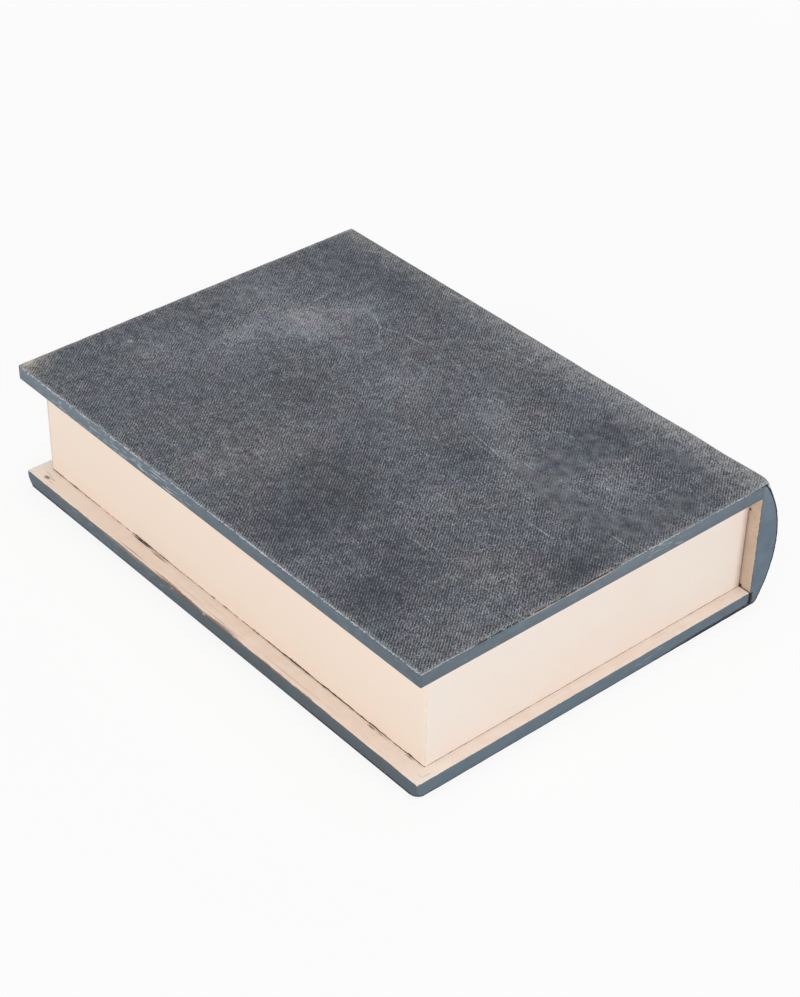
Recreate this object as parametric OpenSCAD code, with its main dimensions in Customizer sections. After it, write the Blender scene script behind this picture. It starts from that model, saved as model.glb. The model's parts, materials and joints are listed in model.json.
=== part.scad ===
// A box for papers and keepsakes that looks like a bound book.
// Two flat cover boards and a round spine are joined by one cloth, which is also the hinge.
// A tray in the place of the pages is pinned to the bottom board.
// The box lies closed: X runs along the spine, the fore edge faces -Y, the spine is at +Y
// and the underside of the cloth is at z = 0. The origin is at the middle of the underside.

/* [Cover] */
// Length of both cover boards, along the spine
board_l = 305; // [200:1:420]
// Width of both cover boards, from the fore edge to the spine
board_w = 215; // [140:1:300]
// Thickness of the wood in both cover boards
board_t = 7.1; // [4:0.1:12]
// Thickness of the cloth
cloth_t = 0.8; // [0.5:0.1:1.4]

/* [Spine] */
// Depth of the spine at its top edge, cloth included
spine_top_d = 1.2; // [1:0.1:4]
// Depth of the spine at its foot, cloth included
spine_foot_d = 4.1; // [2.5:0.1:8]
// How far the round back stands out past a straight line from its top edge to its foot
spine_crown = 11.6; // [5:0.1:18]
// Open seam between the bottom board and the foot of the spine
foot_seam = 0.8; // [0.4:0.1:1.5]
// Closed seam between the top board and the spine
top_seam = 0.2; // [0.1:0.05:0.5]
// Slack under the loose cloth where it passes over a seam
seam_slack = 0.3; // [0.2:0.05:0.6]
// Gap between two lengths of cloth where they meet at a fold
fold_gap = 0.2; // [0.1:0.05:0.3]

/* [Tray] */
// Height of the tray's walls
wall_h = 56.6; // [30:0.2:110]
// Thickness of the tray's walls
wall_t = 7; // [5:0.5:12]
// How far the boards stand out past the tray at the fore edge
fore_overhang = 10.8; // [4:0.2:24]
// How far the boards stand out past the tray at each end
end_overhang = 7.4; // [3:0.2:20]
// Gap between the top of the tray and the lid
lid_gap = 0.2; // [0.1:0.1:1]
// Thickness of the smooth card round the outside of the tray
wrap_t = 0.5; // [0.3:0.1:1.2]
// Radius of the tray's outer corners, at the fore edge
corner_r = 2; // [1.5:0.1:4]

/* [Linings] */
// Thickness of the paper on the tray's inner faces
paper_t = 0.4; // [0.2:0.1:1]
// How far the paper stops short of the top of the tray
paper_drop = 1; // [0.2:0.2:6]
// Thickness of the felt pad on the tray's floor
felt_t = 2; // [1:0.5:5]
// Gap round the felt pad
felt_gap = 0.3; // [0.1:0.1:1]
// Thickness of the panel inside the lid
panel_t = 0.5; // [0.3:0.1:1.5]
// Space between the lid's panel and the tray's inner faces, all round
panel_inset = 6; // [5:0.5:20]

/* [Pins] */
// Radius of the headless pins
pin_r = 0.6; // [0.4:0.1:1]
// Length of the headless pins
pin_l = 20; // [16:0.5:24]
// Pins at each corner of the tray
corner_pin_n = 3; // [2:1:4]
// Pins through the bottom board into each long wall
long_pin_n = 4; // [2:1:5]
// Pins through the bottom board into each end wall
end_pin_n = 2; // [1:1:3]

/* [Hidden] */

$fn = 96;
// Overshoot of a cut past the face that it opens
cut = 1;

paint = "#66788A";
cream = "#EEDFCF";
bare_wood = "#C9A983";
denim = "#6A6C74";
felt = "#3E4650";
steel = "#A9ADB0";

// Heights, from the underside up
board_top = cloth_t + board_t;
wall_top = board_top + wall_h;
lid_under = wall_top + lid_gap;
box_h = lid_under + board_t + cloth_t;

// The round back is an arc through its top edge and its foot
lean = spine_top_d - spine_foot_d;
chord = sqrt(lean * lean + box_h * box_h);
back_r = (chord * chord / 4 + spine_crown * spine_crown) / (2 * spine_crown);
mid_y = (spine_top_d + spine_foot_d) / 2;
arc_y = mid_y - (back_r - spine_crown) * box_h / chord;
arc_z = box_h / 2 + (back_r - spine_crown) * lean / chord;

// The box is centred on its full depth, round back included
depth = board_w + arc_y + back_r;
fore_y = -depth / 2;
spine_y = fore_y + board_w;
half_l = board_l / 2;

// Depth of the arc of radius r behind the spine's inner face, at height z
function arc_depth(r, z) = arc_y + sqrt(r * r - (z - arc_z) * (z - arc_z));

// Both folds turn about the middle of the cloth, whose round end is a hair thinner than the cloth
fold_trim = 0.02;
fold_r = cloth_t / 2 - fold_trim;
mid_r = back_r - cloth_t / 2;
foot_z = cloth_t / 2;
top_z = box_h - cloth_t / 2;
foot_y = spine_y + arc_depth(mid_r, foot_z);
top_y = spine_y + arc_depth(mid_r, top_z);

// The tray: outside of the card, outside of the walls, inside of the walls
tray_x = half_l - end_overhang;
tray_front = fore_y + fore_overhang;
tray_back = spine_y - foot_seam;
wall_x = tray_x - wrap_t;
wall_front = tray_front + wrap_t;
room_x = wall_x - wall_t;
room_front = wall_front + wall_t;
room_back = tray_back - wall_t;
lining_h = wall_h - paper_drop;

// A box from its two opposite corners
module block(low, high) {
    translate(low) cube(high - low);
}

// Outline of the tray, square at the spine and with round corners of radius r at the fore edge
module tray_outline(x, front, back, r) {
    translate([-x, front + r]) square([2 * x, back - front - r]);
    translate([r - x, front]) square([2 * (x - r), r + cut]);
    for (side = [-1, 1])
        translate([side * (x - r), front + r]) circle(r);
}

// Headless pins, from the outside of each end wall into the ends of the long walls
module corner_pin_set() {
    for (side = [-1, 1], y = [room_front - wall_t / 2, room_back + wall_t / 2], i = [1 : corner_pin_n])
        translate([side * wall_x, y, board_top + wall_h * i / (corner_pin_n + 1)])
            rotate([0, -side * 90, 0]) cylinder(r = pin_r, h = pin_l);
}

// Headless pins, up through the bottom board into the middle of each wall
module board_pin_set() {
    for (y = [room_front - wall_t / 2, room_back + wall_t / 2], i = [1 : long_pin_n])
        translate([room_x * (2 * i - 1 - long_pin_n) / long_pin_n, y, cloth_t])
            cylinder(r = pin_r, h = pin_l);
    for (side = [-1, 1], i = [1 : end_pin_n])
        translate([
            side * (wall_x - wall_t / 2),
            room_front + (room_back - room_front) * (2 * i - 1) / (2 * end_pin_n),
            cloth_t
        ])
            cylinder(r = pin_r, h = pin_l);
}

module bottom_board() {
    color(paint) difference() {
        block([-half_l, fore_y, cloth_t], [half_l, tray_back, board_top]);
        board_pin_set();
    }
}

// One long wall, which fits between the end walls
module long_wall(front) {
    color(bare_wood) difference() {
        block([-room_x, front, board_top], [room_x, front + wall_t, wall_top]);
        corner_pin_set();
        board_pin_set();
    }
}

module fore_edge_wall() {
    long_wall(wall_front);
}

module spine_side_wall() {
    long_wall(room_back);
}

// One end wall, which runs the full depth of the tray and has its outer front corner rounded
module end_wall(side) {
    color(bare_wood) difference() {
        intersection() {
            translate([0, 0, board_top]) linear_extrude(wall_h)
                tray_outline(wall_x, wall_front, tray_back, corner_r - wrap_t);
            translate([side * (wall_x - wall_t / 2), 0, box_h / 2])
                cube([wall_t, 2 * depth, 2 * box_h], center = true);
        }
        corner_pin_set();
        board_pin_set();
    }
}

module left_end_wall() {
    end_wall(-1);
}

module right_end_wall() {
    end_wall(1);
}

// Smooth card round both ends and the fore edge, open towards the spine
module page_wrap() {
    color(cream) translate([0, 0, board_top]) linear_extrude(wall_h) difference() {
        tray_outline(tray_x, tray_front, tray_back, corner_r);
        tray_outline(wall_x, wall_front, tray_back + cut, corner_r - wrap_t);
    }
}

// Paper on one long wall; front is the lining's face that is nearer the fore edge
module long_lining(front) {
    color(cream) block(
        [-room_x + paper_t, front, board_top],
        [room_x - paper_t, front + paper_t, board_top + lining_h]
    );
}

module fore_edge_lining() {
    long_lining(room_front);
}

module spine_side_lining() {
    long_lining(room_back - paper_t);
}

// Paper on one end wall, from long wall to long wall
module end_lining(side) {
    color(cream) translate([side * (room_x - paper_t / 2) - paper_t / 2, room_front, board_top])
        cube([paper_t, room_back - room_front, lining_h]);
}

module left_end_lining() {
    end_lining(-1);
}

module right_end_lining() {
    end_lining(1);
}

// Felt pad inside the paper
module floor_lining() {
    inset = paper_t + felt_gap;
    color(felt) block(
        [-room_x + inset, room_front + inset, board_top],
        [room_x - inset, room_back - inset, board_top + felt_t]
    );
}

module corner_pins() {
    color(steel) corner_pin_set();
}

module board_pins() {
    color(steel) board_pin_set();
}

// Cloth under the bottom board, loose over the foot seam and up to the fold
module bottom_cloth() {
    color(denim) block([-half_l, fore_y, 0], [half_l, foot_y - fold_r - fold_gap, cloth_t]);
}

// The wood of the spine: flat inside, round at the back, a little short of the loose cloth
module spine_block() {
    foot = cloth_t + seam_slack;
    top = box_h - cloth_t - seam_slack;
    color(paint) intersection() {
        block([-half_l, spine_y, foot], [half_l, spine_y + 2 * back_r, top]);
        translate([-half_l, spine_y + arc_y, arc_z]) rotate([0, 90, 0])
            cylinder(r = back_r - cloth_t, h = board_l);
    }
}

// Cloth on the round back, from the fold at the foot to the fold at the top, with round ends
module spine_cloth() {
    reach = 2 * back_r;
    foot_a = asin((foot_z - arc_z) / mid_r);
    top_a = asin((top_z - arc_z) / mid_r);
    color(denim) translate([-half_l, 0, 0]) rotate([90, 0, 90]) linear_extrude(board_l) {
        translate([spine_y + arc_y, arc_z]) intersection() {
            difference() {
                circle(back_r);
                circle(back_r - cloth_t);
            }
            polygon([
                [0, 0],
                reach * [cos(foot_a), sin(foot_a)],
                reach * [cos(top_a), sin(top_a)]
            ]);
        }
        translate([foot_y, foot_z]) circle(fold_r);
        translate([top_y, top_z]) circle(fold_r);
    }
}

module top_board() {
    color(paint) block([-half_l, fore_y, lid_under], [half_l, spine_y - top_seam, lid_under + board_t]);
}

// Panel inside the lid, which drops into the mouth of the tray with room all round
module lid_lining() {
    color(cream) block(
        [-room_x + panel_inset, room_front + panel_inset, lid_under - panel_t],
        [room_x - panel_inset, room_back - panel_inset, lid_under]
    );
}

// Cloth over the lid, loose over the top seam and up to the fold
module top_cloth() {
    color(denim) block([-half_l, fore_y, box_h - cloth_t], [half_l, top_y - fold_r - fold_gap, box_h]);
}

bottom_board();
fore_edge_wall();
spine_side_wall();
left_end_wall();
right_end_wall();
page_wrap();
fore_edge_lining();
spine_side_lining();
left_end_lining();
right_end_lining();
floor_lining();
corner_pins();
board_pins();
bottom_cloth();
spine_block();
spine_cloth();
top_board();
lid_lining();
top_cloth();
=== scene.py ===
# %% [markdown]
# # A box that looks like a bound book
#
# The object is a wooden box for papers and keepsakes. Two boards are its covers, a rounded block is its
# spine, and a tray wrapped in cream card stands where the pages would be. Washed denim is glued over the
# lid, round the spine and underneath, and it is also the hinge. The CAD model gives every place and size, so
# it is loaded first as a fixed frame, and each piece below is modelled straight into it, in metres.

# %% Load the frame
import json
import math
import random
from functools import partial, reduce
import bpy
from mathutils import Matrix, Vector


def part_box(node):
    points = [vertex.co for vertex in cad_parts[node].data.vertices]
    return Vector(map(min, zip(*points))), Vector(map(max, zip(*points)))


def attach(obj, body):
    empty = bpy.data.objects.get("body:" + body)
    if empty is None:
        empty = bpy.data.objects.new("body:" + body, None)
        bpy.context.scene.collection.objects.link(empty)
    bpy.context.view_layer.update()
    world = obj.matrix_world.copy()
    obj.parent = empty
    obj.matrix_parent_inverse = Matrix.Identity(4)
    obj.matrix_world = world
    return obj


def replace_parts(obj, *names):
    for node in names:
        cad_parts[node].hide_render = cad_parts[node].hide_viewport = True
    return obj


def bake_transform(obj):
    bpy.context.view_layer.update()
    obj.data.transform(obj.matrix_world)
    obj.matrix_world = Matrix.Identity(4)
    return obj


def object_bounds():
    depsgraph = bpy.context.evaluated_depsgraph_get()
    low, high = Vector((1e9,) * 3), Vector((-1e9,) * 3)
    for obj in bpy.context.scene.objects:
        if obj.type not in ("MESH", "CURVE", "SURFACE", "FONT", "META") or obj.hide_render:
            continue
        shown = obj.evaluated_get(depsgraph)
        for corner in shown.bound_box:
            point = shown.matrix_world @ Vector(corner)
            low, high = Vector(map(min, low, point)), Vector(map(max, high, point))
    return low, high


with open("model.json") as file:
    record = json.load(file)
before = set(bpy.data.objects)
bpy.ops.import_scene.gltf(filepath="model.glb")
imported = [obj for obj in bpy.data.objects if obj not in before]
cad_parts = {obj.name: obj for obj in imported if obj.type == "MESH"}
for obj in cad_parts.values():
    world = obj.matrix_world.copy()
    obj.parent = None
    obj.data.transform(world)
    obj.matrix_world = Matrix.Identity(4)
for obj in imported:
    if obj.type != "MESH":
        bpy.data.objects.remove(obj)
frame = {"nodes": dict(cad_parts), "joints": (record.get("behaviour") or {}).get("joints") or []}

from types import SimpleNamespace
import bmesh
import bpy
from mathutils import Matrix, Vector, noise

cad_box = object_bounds()
random.seed(11)

# %% [markdown]
# ## Sizes
#
# The boxes of the CAD nodes give the boards, the tray and the card. The spine is an arc of one circle, whose
# centre comes from the part's source. Lengths written out below are in millimetres times MM.

# %% Sizes from the frame
MM = 0.001
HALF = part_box("top_board")[1].x
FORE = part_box("top_board")[0].y
BOARD_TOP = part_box("bottom_board")[1].z
LID_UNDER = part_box("top_board")[0].z
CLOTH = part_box("bottom_cloth")[1].z
wrap_low, wrap_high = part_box("page_wrap")
HAIR = 0.02 * MM     # a gap too fine to see, which keeps two faces apart
ARC_Y = 51.958 * MM
ARC_Z = 34.261 * MM
pivots = {joint["name"]: Vector(joint["pos_m"]) for joint in frame["joints"]}
ARC_R = (pivots["lid_hinge"].yz - Vector((ARC_Y, ARC_Z))).length
print("half length, fore edge, cloth, spine radius:", HALF, FORE, CLOTH, round(ARC_R, 5))

# %% [markdown]
# ## The camera
#
# A camera was fitted to fifteen corners of the box. It stands high in front of the right-hand corner of the
# fore edge, with a long lens, so the box's upright lines hardly run together. The matrix is built from the
# directions that point right and down in the picture, and the one that the camera looks along.

# %% Camera
RIGHT = Vector((0.65250924, 0.75747155, 0.02164589))
AHEAD = Vector((-0.60051363, 0.53430102, -0.59489983))
DOWN = AHEAD.cross(RIGHT)
camera = bpy.data.objects.new("camera", bpy.data.cameras.new("camera"))
bpy.context.scene.collection.objects.link(camera)
camera.data.sensor_width = 36.0
camera.data.lens = 87.42
camera.rotation_mode = "QUATERNION"
turned = Matrix.Identity(3)
for row in range(3):
    turned[row] = (RIGHT[row], -DOWN[row], -AHEAD[row])
camera.rotation_quaternion = turned.to_quaternion()
camera.location = (0.72635, -0.63983, 0.74059)
bpy.context.scene.camera = camera
print("camera at", tuple(camera.location))

# %% [markdown]
# ## One helper for colours and one for nodes
#
# Colours are written as the hex values that a picture editor shows, and turned to the linear light that
# Blender works in. Every node in this file is made by the same small function. Its first word is the kind
# of node, and a second word sets the node's mode. Plain values fill the sockets in order, so a noise takes
# its place, scale, detail and roughness, and a map range takes a value and the two limits that become 0
# and 1. A capitalised name fills the socket of that name, and any other name is a setting. The function
# returns the node's first open output, ready for the next node. A new material comes with a copy of it,
# called add, that is already tied to the material's own nodes.

# %% Colours and nodes
MODES = {"Math": "operation", "VectorMath": "operation", "Mix": "data_type", "Mapping": "vector_type",
         "TexGradient": "gradient_type", "TexWhiteNoise": "noise_dimensions"}


def linear(code):
    """The linear RGBA of an sRGB hex colour."""
    parts = [int(code[place:place + 2], 16) / 255 for place in (1, 3, 5)]
    return (*[c / 12.92 if c <= 0.04045 else ((c + 0.055) / 1.055) ** 2.4 for c in parts], 1.0)


def add_node(tree, kind, *values, **named):
    """Adds a node with its mode, settings and links, and returns its first open output."""
    kind, *mode = kind.split()
    node = tree.nodes.new("ShaderNode" + kind)
    if mode:
        setattr(node, MODES[kind], mode[0])
    for name, value in named.items():
        if name[0].islower():
            setattr(node, name, value)
    sockets = [socket for socket in node.inputs if socket.enabled]
    given = list(zip(sockets, values))
    for name, value in named.items():
        if name[0].isupper():
            given.append((next(s for s in sockets if s.name == name.replace("_", " ")), value))
    for socket, value in given:
        if isinstance(value, bpy.types.NodeSocket):
            tree.links.new(value, socket)
        else:
            socket.default_value = linear(value) if isinstance(value, str) else value
    return next((socket for socket in node.outputs if socket.enabled), None)


def new_material(name):
    """An empty material, and the function that adds a node to it."""
    made = bpy.data.materials.new(name)
    made.use_nodes = True
    made.node_tree.nodes.clear()
    return made, partial(add_node, made.node_tree)


print("mid grey in linear light:", round(linear("#808080")[0], 3))

# %% [markdown]
# ## From a mesh to a piece
#
# A finished bmesh becomes an object at the origin and rides on one of the CAD's bodies. Faces that meet at a
# shallow angle are shaded smooth, and a weighted normal keeps the big flat faces flat beside their small
# rounded edges.

# %% Pieces
def make_piece(mesh, name, materials, body=None, recalculate=True):
    """Turns a finished bmesh into a piece of the object."""
    if recalculate:
        bmesh.ops.recalc_face_normals(mesh, faces=mesh.faces)
    data = bpy.data.meshes.new(name)
    mesh.to_mesh(data)
    mesh.free()
    for material in materials:
        data.materials.append(material)
    data.shade_smooth()
    data.set_sharp_from_angle(angle=math.radians(32))
    made = bpy.data.objects.new(name, data)
    bpy.context.scene.collection.objects.link(made)
    if body:
        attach(made, body)
    print(name, "has", len(data.polygons), "faces")
    return made


def keep_flats(made):
    """Big faces keep their own normals beside rounded edges."""
    made.modifiers.new("keep flats", "WEIGHTED_NORMAL").keep_sharp = True


def crisp_cuts(made):
    """Open edges stay sharp when the sheet gets its thickness, so its faces are shaded flat up to them."""
    times = {}
    for face in made.data.polygons:
        for key in face.edge_keys:
            times[key] = times.get(key, 0) + 1
    for edge in made.data.edges:
        edge.use_edge_sharp = edge.use_edge_sharp or times[edge.key] == 1


def block(low, high):
    """A new mesh with a cube that is scaled to a box."""
    mesh = bmesh.new()
    bmesh.ops.create_cube(mesh, size=1.0)
    bmesh.ops.scale(mesh, vec=high - low, verts=mesh.verts)
    bmesh.ops.translate(mesh, vec=(high + low) / 2, verts=mesh.verts)
    return mesh


def round_edges(mesh, edges, width, segments):
    """A round bevel of even width."""
    bmesh.ops.bevel(mesh, geom=edges, offset=width, offset_type="OFFSET", segments=segments,
                    affect="EDGES", profile=0.5, material=-1)


print("box of the CAD model:", [tuple(round(value, 4) for value in corner) for corner in cad_box])

# %% [markdown]
# ## Small patterns that come back
#
# A few groups of nodes are needed again and again. Every pattern is scaled in millimetres, so a noise of
# scale 2 has marks about half a millimetre across. It lies on the object's own coordinates, so that it stays
# on the piece when the box opens. Wear doesn't come from one big noise: it lies where hands and other things
# have touched, so each mark gets a soft spot of its own, an ellipse that fades from 1 in its middle to 0.
# Most surfaces are two tones of one colour, mixed by a fine pattern and a coarse one.

# %% Groups of nodes
def in_millimetres(add):
    """Each point's place on the object, in millimetres."""
    return add("VectorMath MULTIPLY", add("TexCoord").node.outputs["Object"], (1000, 1000, 1000))


def away(add, value, middle):
    """How far a value is from a middle, on either side."""
    return add("Math ABSOLUTE", add("Math SUBTRACT", value, middle))


def shift_by(add, texture, reach):
    """A shift either way along each axis, from the colour of a noise."""
    centred = add("VectorMath SUBTRACT", texture.node.outputs["Color"], (0.5, 0.5, 0.5))
    return add("VectorMath MULTIPLY", centred, reach)


def where(add, *limits):
    """How far a point lies within all limits. Each is a share, or a value and its range for a map range."""
    shares = [add("MapRange", *limit) if isinstance(limit, tuple) else limit for limit in limits]
    return reduce(partial(add, "Math MULTIPLY"), shares)


def soft_spot(add, place, middle, half, turn=0, fade="SPHERICAL"):
    """An ellipse of those half sizes that fades from 1 in its middle to 0."""
    spot = add("Mapping TEXTURE", place, middle, (0, 0, math.radians(turn)), half)
    return add("TexGradient " + fade, spot).node.outputs["Fac"]


def two_tones(add, fine, share, coarse, spread, dark, pale):
    """A colour between two, by a fine and a coarse pattern; share is how much the fine one counts."""
    tone = add("Math MULTIPLY_ADD", fine, share, add("Math MULTIPLY", coarse, 1 - share))
    return add("Mix RGBA", add("MapRange", tone, 0.5 - spread, 0.5 + spread), dark, pale)


def surface(add, colour, roughness, height, strength, depth, **more):
    """The last nodes of a material: the bump, its depth in metres, and the shader that it goes to."""
    bump = add("Bump", Strength=strength, Distance=depth, Height=height)
    add("OutputMaterial", add("BsdfPrincipled", Base_Color=colour, Roughness=roughness, Normal=bump, **more))


print("patterns are scaled in millimetres, so the object's coordinates are multiplied by", round(1 / MM))

# %% [markdown]
# ## Painted wood
#
# The boards and the spine block are softwood under brushed emulsion paint: blue-grey on every edge that
# shows and cream on the faces that look at the pages. Brushed matt paint gives a dull, even surface with
# faint strokes along the wood. The border between the two was painted by hand and wavers by a few tenths of
# a millimetre. It is worked out from the distance to the outer edge, so it follows the shape on every side.

# %% Where the paint is marked, and the border between the two paints
inner_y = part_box("spine_block")[0].y - 0.08 * MM
SEAM = (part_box("bottom_board")[1].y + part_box("spine_block")[0].y) / 2
KNOCKS = (
    # x and y of the middle, half length, half width, colour and strength of small marks on the lower rim
    (-141.0, -110.2, 2.6, 1.5, "#6B5343", 0.85), (-138, -109.0, 3.6, 0.4, "#B99F8A", 0.7),
    (-143, -107.6, 4.4, 0.4, "#C3A992", 0.6), (-136, -111.2, 3.0, 0.35, "#B99F8A", 0.6),
    (-52, -104.8, 8.5, 0.9, "#C2A68A", 0.65), (-51, -105.45, 8.0, 0.35, "#5A4030", 0.75),
    (-66, -104.5, 9.0, 0.7, "#3E2A1E", 1.0), (60, -111.5, 26.0, 0.3, "#A98F79", 0.55),
    (8, -112.0, 22.0, 0.3, "#A58A73", 0.5), (-18, -110.9, 16.0, 0.22, "#B49A84", 0.5),
    (-24, -114.0, 24.0, 0.9, "#6E5644", 0.95), (-34, -113.0, 15.0, 0.4, "#8A705A", 0.85),
    (9, -113.7, 16.0, 0.7, "#8A705A", 0.85), (14, -112.8, 10.0, 0.35, "#A0866E", 0.7),
    (-64, -112.6, 14.0, 0.4, "#A08468", 0.8), (-66, -114.5, 24.0, 0.8, "#8E8A82", 0.7),
    (-2.5, -114.5, 1.3, 0.7, "#D2CBBA", 1.0), (-28, -114.6, 1.0, 0.5, "#B5B9B6", 0.9),
    (147.5, 86, 0.3, 2.6, "#B59A82", 0.4), (149.5, -106, 0.3, 3.4, "#C9B29C", 0.6),
    (148.0, -109.0, 2.6, 0.25, "#D0BBA6", 0.6), (110, -105.0, 3.2, 0.7, "#7A5F4B", 0.85),
    (116, -104.9, 4.0, 0.4, "#9C8068", 0.7), (136, -104.8, 3.5, 0.4, "#8E735D", 0.7),
)
SCUFFS = (
    # x and z of the middle, half length, half height and strength of pale scuffs on the lid's fore edge
    (-28.4, 66.2, 5.5, 0.42, 0.95), (-55, 68.4, 3.4, 0.4, 0.6), (-50, 67.2, 3.6, 0.4, 0.7),
    (-70, 67.9, 3.8, 0.5, 0.7), (-64, 66.6, 4.0, 0.4, 0.7), (-88, 68.6, 5.0, 0.5, 0.6),
    (-12, 67.6, 3.4, 0.4, 0.6), (-78, 66.4, 3.0, 0.4, 0.6),
)


def paint_places(add, board, border, waver):
    """What all layers of the paint share: places, patterns, and the distance past the border."""
    at = SimpleNamespace(place=in_millimetres(add))
    at.x, at.y, at.z = add("SeparateXYZ", at.place).node.outputs
    inward = add("Math SUBTRACT", HALF / MM, add("Math ABSOLUTE", at.x))
    if board:
        at.from_fore = add("Math SUBTRACT", at.y, FORE / MM)
        inward = add("Math MINIMUM", inward, at.from_fore)
    at.wander = add("TexNoise", at.place, 0.45, 4, 0.65)
    at.ragged = add("TexNoise", at.place, 2.2, 3, 0.6)
    line = add("Math MULTIPLY_ADD", at.wander, -2 * waver, border + waver)
    at.past = add("Math MULTIPLY_ADD", at.ragged, 0.5 * waver, add("Math SUBTRACT", inward, line))
    at.cream_side = add("MapRange", at.past, -0.06, 0.06)
    if board:
        # only the two faces that look at the pages are cream
        at.over_base = away(add, at.z, BOARD_TOP / MM)
        off_face = add("Math MINIMUM", at.over_base, away(add, at.z, LID_UNDER / MM))
        at.cream_side = where(add, at.cream_side, (off_face, 0.34, 0.26))
        near_corner = (HALF / MM - 0.1, FORE / MM + 0.1, 0)
        flat_place = add("VectorMath MULTIPLY", at.place, (1, 1, 0))
        at.to_corner = add("VectorMath DISTANCE", flat_place, near_corner).node.outputs["Value"]
    return at


print(len(KNOCKS), "marks on the rim and", len(SCUFFS), "scuffs on the lid's edge")

# %% [markdown]
# The blue-grey paint has strokes along the wood, drawn as a noise that is stretched that way, and it has
# aged with use. On the boards, light has faded the lid's edge at the left, hands have darkened the lower
# edge and the near corner, and knocks have left short pale scuffs. The small ones can lie anywhere, so a
# stretched noise is cut off to leave them, and the plain ones are soft spots. The foot of the lid's edge is
# painted a little darker as painted shade. The spine has only faded towards its top.

# %% Blue-grey paint
FADED_PAINT = "#788691"


def handled_edges(add, at, blue, mottle):
    """The boards' edges: faded in places, dark with handling in others, and painted shade low on the lid."""
    high_up = add("MapRange", at.z, 30, 60, 0.25, 1)
    at_end = add("MapRange", add("Math ABSOLUTE", at.x), HALF / MM - 0.6, HALF / MM - 0.1)
    mid_end = (away(add, at.y, 16), 80, 10, 0.05, 0.35)
    faded = add("Math MAXIMUM", add("MapRange", at.x, 0, -120, 0, 0.45), where(add, at_end, mid_end))
    blue = add("Mix RGBA", where(add, faded, high_up), blue, FADED_PAINT)
    # the lower edge is dark with handling, most towards the near corner
    handled = where(add, mottle, (at.z, 20, 8), (at.x, -90, 20, 0.5, 1))
    blue = add("Mix RGBA", handled, blue, add("Mix RGBA", at_end, "#444D4F", "#5A6F7C"))
    near = add("Math MAXIMUM", add("MapRange", at.to_corner, 60, 4, 0, 0.3),
               add("MapRange", at.to_corner, 0.45, 0.2, 0, 0.5))
    right_fore = where(add, (at.x, 0, 40, 0, 0.17), add("Math SUBTRACT", 1, at_end))
    near = where(add, add("Math MAXIMUM", near, right_fore), high_up)
    # the foot of the lid's edge is painted a little darker too, as painted shade
    foot = where(add, (at.z, 70, 65, 0, 0.32), (at.z, 30, 60))
    return add("Mix RGBA", add("Math MAXIMUM", near, foot), blue, "#43505A")


def blue_paint(add, at, board, blues):
    """The blue-grey paint and its brush strokes."""
    # the strokes are long in x and y, and under half a millimetre wide in height
    strokes = add("TexNoise", add("Mapping POINT", at.place, Scale=(0.05, 0.05, 1.6)), 1, 5, 0.6)
    mottle = add("TexNoise", at.place, 0.16, 4)
    blue = two_tones(add, strokes, 0.5, mottle, 0.2, *blues)
    if board:
        blue = handled_edges(add, at, blue, mottle)
    else:
        blue = add("Mix RGBA", add("MapRange", at.z, 48, 68, 0, 0.4), blue, FADED_PAINT)
    # pale scuffs, a few millimetres long and under half a millimetre high
    dashes = add("Mapping POINT", at.place, Scale=(0.15, 0.15, 1.5))
    left = add("MapRange", at.x, -5, -35, 0.1, 1 if board else 0.1)
    back = add("MapRange", away(add, at.y, 32), 16, 8, 0, 0.8)
    scuffed = where(add, (add("TexNoise", dashes, 1, 1.5), 0.605, 0.65), add("Math MAXIMUM", left, back),
                    (at.z, 10, 60, 0.25, 1), (at.x, -136, -112, 0.22, 1))
    if board:
        shaken = add("VectorMath ADD", at.place, shift_by(add, at.ragged, (1.6, 0, 0.6)))
        for middle_x, middle_z, half_x, half_z, strength in SCUFFS:
            soft = soft_spot(add, shaken, (middle_x, FORE / MM, middle_z), (half_x, 4, half_z))
            scuffed = add("Math MAXIMUM", scuffed, add("MapRange", soft, 0.1, 0.4, 0, strength))
    return add("Mix RGBA", scuffed, blue, "#B2BCC3"), strokes


# %% [markdown]
# The cream paint has soft clouds and fine brush lines, with dirt caught in some of them. The clouds are a
# coarse noise and the lines a stretched one. The brush went along the rim, so on the short ends the lines
# run the other way.

# %% Cream paint
def cream_paint(add, at, board, creams):
    """The cream paint, its brush lines and its clouds."""
    lines = add("TexNoise", add("Mapping POINT", at.place, Scale=(0.03, 1.3, 0.03)), 1, 4, 0.6)
    if board:
        end_lines = add("TexNoise", add("Mapping POINT", at.place, Scale=(1.3, 0.03, 0.03)), 1, 4, 0.6)
        card_end = wrap_high.x / MM
        on_short = add("MapRange", add("Math ABSOLUTE", at.x), card_end - 0.5, card_end + 0.5)
        lines = add("Mix FLOAT", on_short, lines, end_lines)
    clouds = add("TexNoise", at.place, 0.12, 4)
    cream = two_tones(add, lines, 0.5, clouds, 0.18, *creams)
    cream = add("Mix RGBA", add("MapRange", lines, 0.62, 0.72, 0, 0.45), cream, "#AD9886")
    if board:
        # painted light: the cream is lightened towards the left end and the near corner, where more light
        # reaches the rim
        painted_light_on_rim_ends = add("Math MAXIMUM", add("MapRange", at.x, -80, -130, 0, 0.8),
                      add("MapRange", at.to_corner, 28, 8, 0, 0.8))
        cream = add("Mix RGBA", painted_light_on_rim_ends, cream, "#FFF2E4")
    return cream, lines, clouds


# %% [markdown]
# The lower board's rim has had the hardest life. Its knocks are soft spots. Dark old glue has squeezed out a
# little beyond the card's foot, as far as a noise lets it. Along the border of the fore edge both paints
# have worn through to bare, dirty wood, in streaks.

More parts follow.
